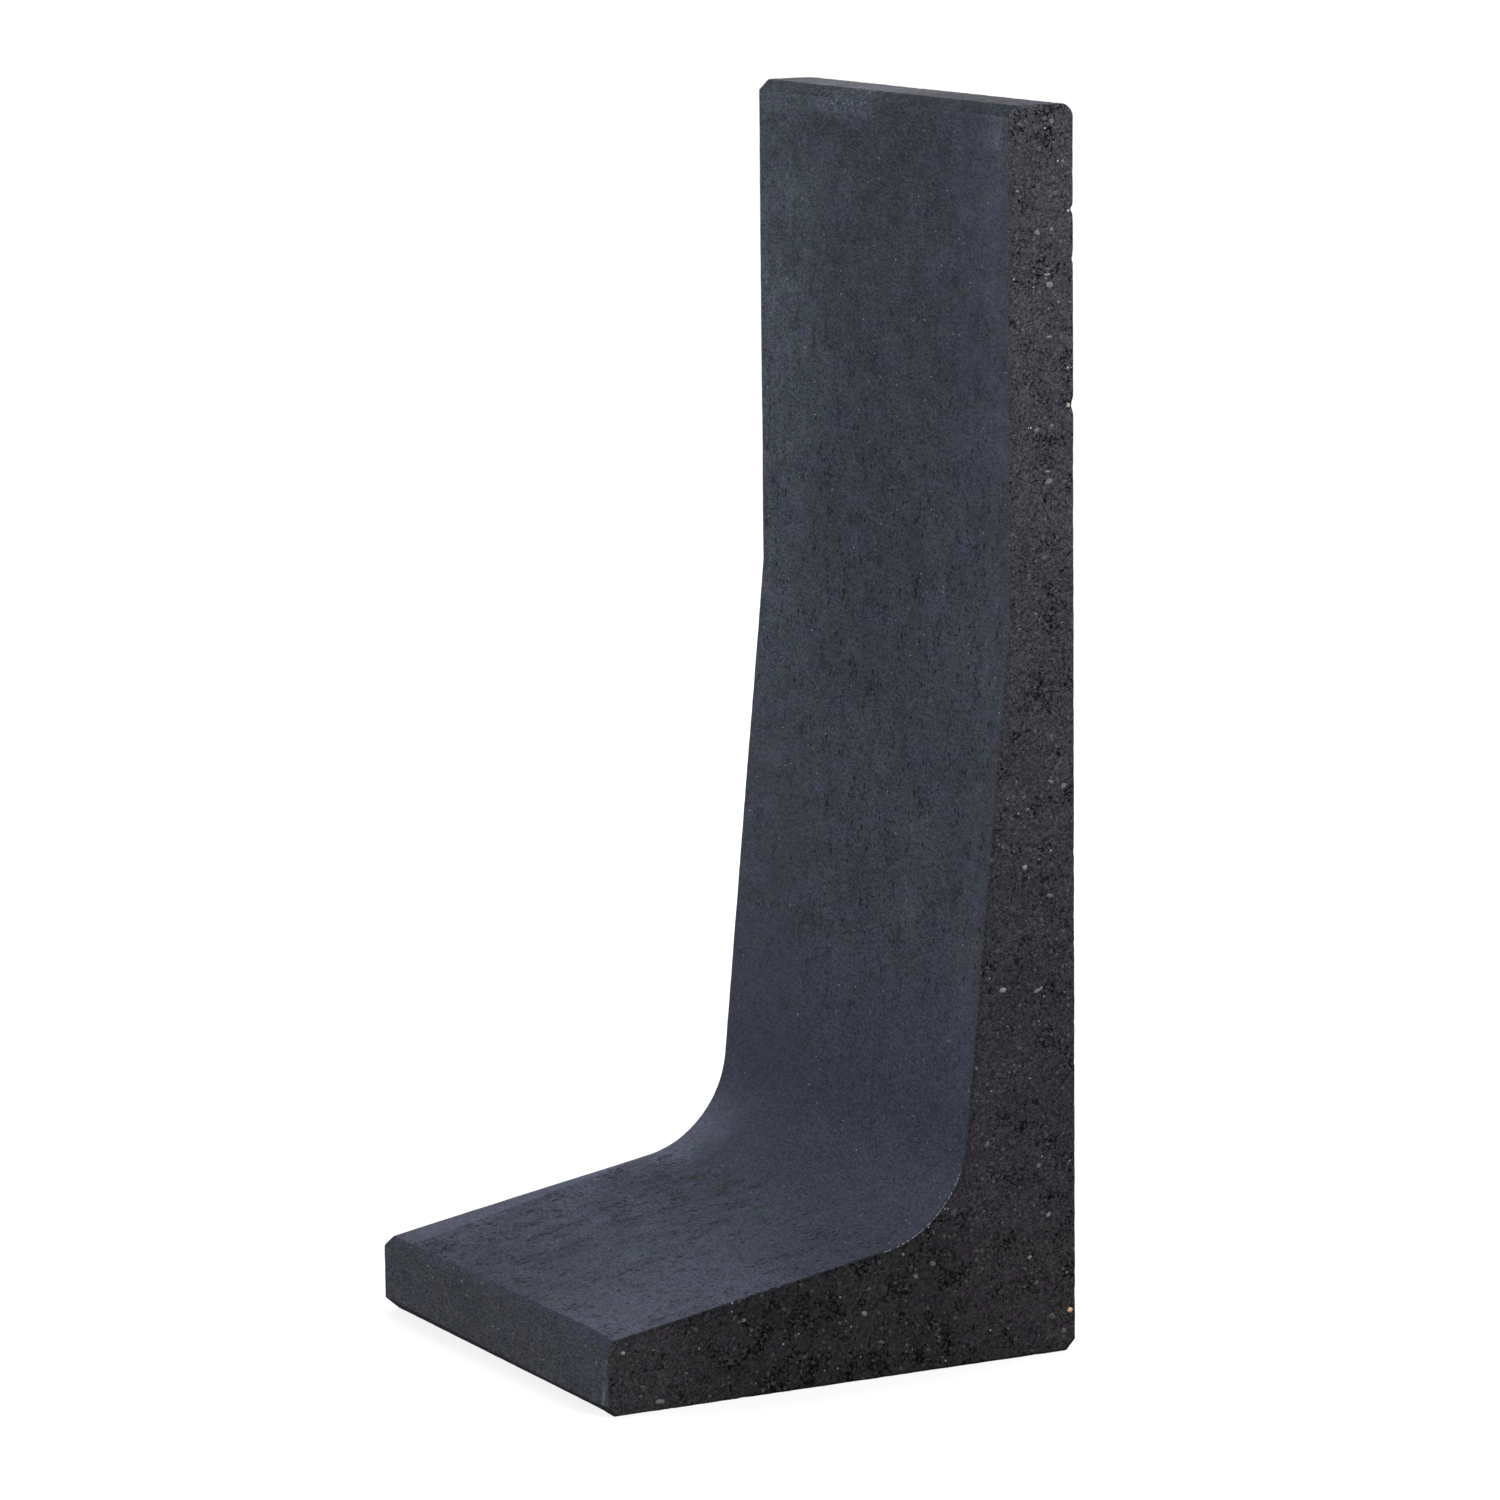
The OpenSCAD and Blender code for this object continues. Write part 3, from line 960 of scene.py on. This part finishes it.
def rough_cracks(g, z, under, crowd, crumb):
    """Cracks round clustered stones, and how bright those stones are."""
    bent = g.scaled(g.noise(g.object, 7, output="Color"), 5 * MM)
    warped = g.vector("ADD", g.object, bent)
    gap = g.cells(warped, CRACK_CELL, "DISTANCE_TO_EDGE")["Distance"]
    _, cell_tag = g.spots(warped, CRACK_CELL)
    gathered = g.sum(0.5, (g.centred(crowd), g.blend(under, 0.60, 0.50)), (under, 0.085),
            (g.rise(z, 0.45, 0.55), 0.02), (g.centred(crumb), g.blend(under, 1.1, 0.66)))
    crack = g.times(g.rise(gap, g.blend(under, 0.13, 0.15), g.blend(under, 0.07, 0.08)),
            g.rise(gathered, 0.60, 0.65))
    bedded = g.times(g.rise(gathered, 0.56, 0.64), g.rise(gap, 0.08, 0.14))
    return crack, g.vary(bedded, g.rise(g.part(cell_tag, 0), 0.2, 0.9, -0.25, 0.55))


def rough_specks(g, colour, run, depth, under, fine, crumb, grain, grain_tag):
    """Grit, gravel and white grains, and the chipped line along the hollow's near edge."""
    grit = g.times(g.rise(g.part(grain_tag, 0), 0.88, 0.90), g.rise(grain, 0.46, 0.34))
    gravel, tag = g.spots(g.object, 5)
    gravel = g.times(g.rise(g.sum(g.part(tag, 1), (under, 0.06)), 0.88, 0.90), g.rise(gravel, 0.34, 0.28))
    white, tag = g.spots(g.object, 6.5)
    chipped = g.times(g.rise(depth, 1.3 * MM, 0.6 * MM), g.rise(crumb, 0.44, 0.56),
            g.span(run, FOOT_RUN - 0.098, FOOT_RUN - 0.092, FOOT_RUN, FOOT_RUN + 0.006))
    for share, shade in ((g.times(grit, g.rise(fine, 0.3, 0.7, 0.15, 0.50)), GRIT),
            (g.times(gravel, g.rise(fine, 0.3, 0.7, 0.25, 0.60)), GRAVEL),
            (g.times(g.rise(white, 0.15, 0.09), g.rise(g.part(tag, 2), 0.85, 1.0), 0.75), WHITE_GRAIN),
            (g.times(chipped, 0.7), CHIPPED)):
        colour = g.mix(share, colour, shade)
    return colour


def rough_concrete():
    """The side that was on top in the mould: open and speckled, with pits and cracks."""
    g = Graph(bpy.data.materials.new("cast_rough"))
    skin, pit = g.attribute("skin"), g.part(g.attribute("pit"), 0)
    y, z = g.part(g.object, 1), g.part(g.object, 2)
    run, depth = g.part(skin, 1), g.part(skin, 2)
    low = g.rise(z, 0.35, 0.05)
    under = g.times(g.span(y, -0.15, -0.07, 0.07, 0.15), g.rise(z, 0.15, 0.10))  # the foot's middle
    hue = g.noise(g.object, 18, 3.0)
    fine = g.noise(g.object, 1.5, 3.0, 0.85)
    crumb = g.noise(g.object, 3.2, 4.0, 0.75)
    crowd = g.noise(g.object, 22)
    grain, grain_tag = g.spots(g.object, 1.9)

    base = g.mix(g.rise(z, 0.085, 0.145), ROUGH_LOW_TINT, ROUGH_TINT)
    tinge = g.sum(0.30, (low, 0.35))
    base = g.mix(g.times(g.rise(hue, 0.54, 0.66), tinge), base, ROUGH_GREEN)
    base = g.mix(g.times(g.rise(hue, 0.46, 0.34), tinge), base, ROUGH_VIOLET)
    level = rough_level(g, y, z, under, fine, grain_tag)
    crack, bedded = rough_cracks(g, z, under, crowd, crumb)

    dark = g.rise(g.sum(crumb, (g.centred(crowd), g.blend(under, 0.34, 0.22)), (low, 0.02)), 0.64, 0.67)
    deep = g.rise(g.add(pit, g.centred(crumb)), 0.32, 0.42)
    ragged = g.add(depth, g.centred(crumb, 11 * MM))
    lip = g.times(g.rise(ragged, 5.0 * MM, 2.5 * MM), g.rise(run, 0.35, 0.65, 0.05, 0.35))
    holes = g.most(g.times(deep, 0.60), g.times(crack, 0.88), g.times(dark, g.blend(under, 0.70, 0.50)), lip)
    colour = g.scaled(base, g.times(level, bedded, g.less(holes)))
    smeared = g.times(g.rise(ragged, 2.2 * MM, 1.2 * MM), g.rise(run, FOOT_RUN, HOLLOW_RUN, 0.3, 0.85))
    colour = g.mix(smeared, colour, g.scaled(SMEARED, g.rise(fine, 0.25, 0.75, 0.6, 1.5)))
    colour = rough_specks(g, colour, run, depth, under, fine, crumb, grain, grain_tag)
    height = g.sum(g.times(fine, 0.5 * MM), (g.rise(grain, 0.5, 0.1), 0.3 * MM),
            (g.most(dark, crack), -0.8 * MM))
    return g.finish(colour, g.rise(fine, 0.2, 0.8, 0.88, 1.0), height)


def stone_material():
    """Pale grey gravel, each stone its own tone. A tone above 1 is rusty."""
    g = Graph(bpy.data.materials.new("exposed_stone"))
    tone = g.attribute("tone", "Fac")
    mottle = g.noise(g.object, 1.6, 3.0, 0.6)
    colour = g.mix(g.rise(mottle, 0.3, 0.7), STONE_DARK, STONE_PALE)
    colour = g.mix(g.rise(tone, 0.95, 1.2), colour, RUSTY)
    colour = g.scaled(colour, g.math("MULTIPLY_ADD", tone, 1.1, 0.12))
    return g.finish(colour, g.rise(mottle, 0.3, 0.7, 0.6, 0.85), g.times(mottle, 0.3 * MM))


ALONG_X, ALONG_Z, ACROSS_Y = (0, 1, 2), (0, 2, 1), (1, 2, 0)  # object axes across, along and through a face
MOULDED = {  # tint, the sand's contrast, how many pits, masks, axes, second hue
    "front": ((0.0362, 0.0427, 0.0516), 1.0, 0.5, front_masks),
    "toe": ((0.0407, 0.0428, 0.0501), 0.9, 0.2, toe_masks, ALONG_Z, (0.955, 0.985, 1.075)),
    "top": ((0.0625, 0.0655, 0.0745), 1.0, 0.4, top_masks, ALONG_X),
    "back": ((0.0350, 0.0412, 0.0499), 0.9, 0.4, None, ALONG_Z),
    "bed": ((0.0300, 0.0325, 0.0370), 1.0, 0.8, None, ALONG_X),
    "end": ((0.0350, 0.0412, 0.0499), 0.9, 0.5, None, ACROSS_Y),
    # The chamfers: the darker tint is partly painted shade against the extra lamp light that their slope
    # catches; the bluer hue is their own.
    "chamfer": ((0.0253, 0.0303, 0.0386), 0.9, 0.2, chamfer_masks, ALONG_Z),
    # The toe's low chamfer: its near black tint is painted shade, where it faces down into the floor's shadow.
    "under": ((0.0130, 0.0134, 0.0148), 1.0, 0.4, None, ALONG_Z),
}
BODY_MATERIALS = {kind: moulded("moulded_" + kind, *settings) for kind, settings in MOULDED.items()}
BODY_MATERIALS["rough"] = rough_concrete()


# ---- studio and camera

FLOOR_HALF = 60.0
FLOOR_SEEN, FLOOR_LIT = 0.22, 0.25  # the floor's own grey where it is seen, and where it throws light back
GLOW = {"From_Min": 0.7, "From_Max": 3.5, "To_Min": 0.80, "To_Max": 1.0}  # how it brightens outwards, seen
AMBIENT = 0.17
# name, place, point it faces, width and height, and how much it gives a white face there (1 renders white)
LAMPS = [
    ("front", (-1.4, -4.2, 1.6), (0.0, 0.0, 0.5), (2.2, 2.0), 0.90),
    ("left", (-3.4, 0.6, 2.2), (0.0, 0.0, 0.4), (1.6, 1.6), 0.85),
    ("side", (1.45, 0.35, 1.85), (0.2, 0.1, 0.6), (0.7, 0.7), 1.20),
    ("back", (-0.5, 3.6, 2.4), (0.0, 0.0, 0.6), (0.8, 0.8), 0.45),
]
CAMERA_AIM = (0.01165, 0.0216, 0.47808)
CAMERA_AWAY = 5.4336
CAMERA_TURNS = [radians(v) for v in (61.656, 9.294, 0.562)]  # azimuth, elevation, roll
CAMERA_LENS, CAMERA_SENSOR = 162.19, 36.0


def lamp(name, place, towards, size, level):
    """A soft lamp. level is the brightness that it alone gives a white face turned to it at that point."""
    way = Vector(towards) - Vector(place)
    light = bpy.data.lights.new(name, "AREA")
    light.shape = "RECTANGLE"
    light.size, light.size_y = size
    light.energy = level * pi**2 * way.length_squared
    made = linked(name, light)
    made.location = place
    made.rotation_mode = "QUATERNION"
    made.rotation_quaternion = way.to_track_quat("-Z", "Y")


def seen_share(g):
    """1 for rays that show the background: from the camera, off gloss or through glass."""
    path = g.node("LightPath").outputs
    return g.most(path["Is Camera Ray"], path["Is Glossy Ray"], path["Is Transmission Ray"])


def floor():
    """A plain pale floor that keeps the object's shadow."""
    h = FLOOR_HALF
    mesh = bpy.data.meshes.new("floor")
    mesh.from_pydata([(-h, -h, 0), (h, -h, 0), (h, h, 0), (-h, h, 0)], [], [(0, 1, 2, 3)])
    material = bpy.data.materials.new("floor_paper")
    g = Graph(material)
    material.cycles.emission_sampling = "NONE"
    away = g.node("VectorMath", {"operation": "LENGTH"}, Vector=g.object).outputs["Value"]
    strength = g.node("MapRange", Value=away, **GLOW).outputs[0]
    glow = g.node("Emission", Color=plain(1.0), Strength=strength).outputs[0]
    seen, lit = (g.node("BsdfDiffuse", Color=plain(level)).outputs[0] for level in (FLOOR_SEEN, FLOOR_LIT))
    g.end("Material", g.filled("MixShader", {}, seen_share(g), lit, g.filled("AddShader", {}, seen, glow)))
    mesh.materials.append(material)
    return linked("floor", mesh)


def world():
    """White where it is seen, and a weak even light from all round."""
    made = bpy.data.worlds.new("studio")
    g = Graph(made)
    light, seen = (g.node("Background", Color=plain(1.0), Strength=level).outputs[0] for level in (AMBIENT, 1.0))
    g.end("World", g.filled("MixShader", {}, seen_share(g), light, seen))
    bpy.context.scene.world = made


def camera():
    """The camera at the photo's angle."""
    a, e, r = CAMERA_TURNS
    level_right = Vector((cos(a), sin(a), 0))
    forward = Vector((-sin(a) * cos(e), cos(a) * cos(e), -sin(e)))
    level_up = level_right.cross(forward)
    right = level_right * cos(r) - level_up * sin(r)
    up = level_up * cos(r) + level_right * sin(r)
    data = bpy.data.cameras.new("camera")
    data.lens, data.sensor_width = CAMERA_LENS, CAMERA_SENSOR
    data.clip_start, data.clip_end = 0.1, 200.0
    made = linked("camera", data)
    made.matrix_world = Matrix((right, up, -forward)).transposed().to_4x4()
    made.location = Vector(CAMERA_AIM) - forward * CAMERA_AWAY
    bpy.context.scene.camera = made


# ---- the scene

body = cast_body()
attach(body, "root")
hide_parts("wall_element")
stones = exposed_stones()
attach(stones, "root")
floor()
world()
for settings in LAMPS:
    lamp(*settings)
camera()
bpy.context.scene.view_settings.view_transform = "Standard"
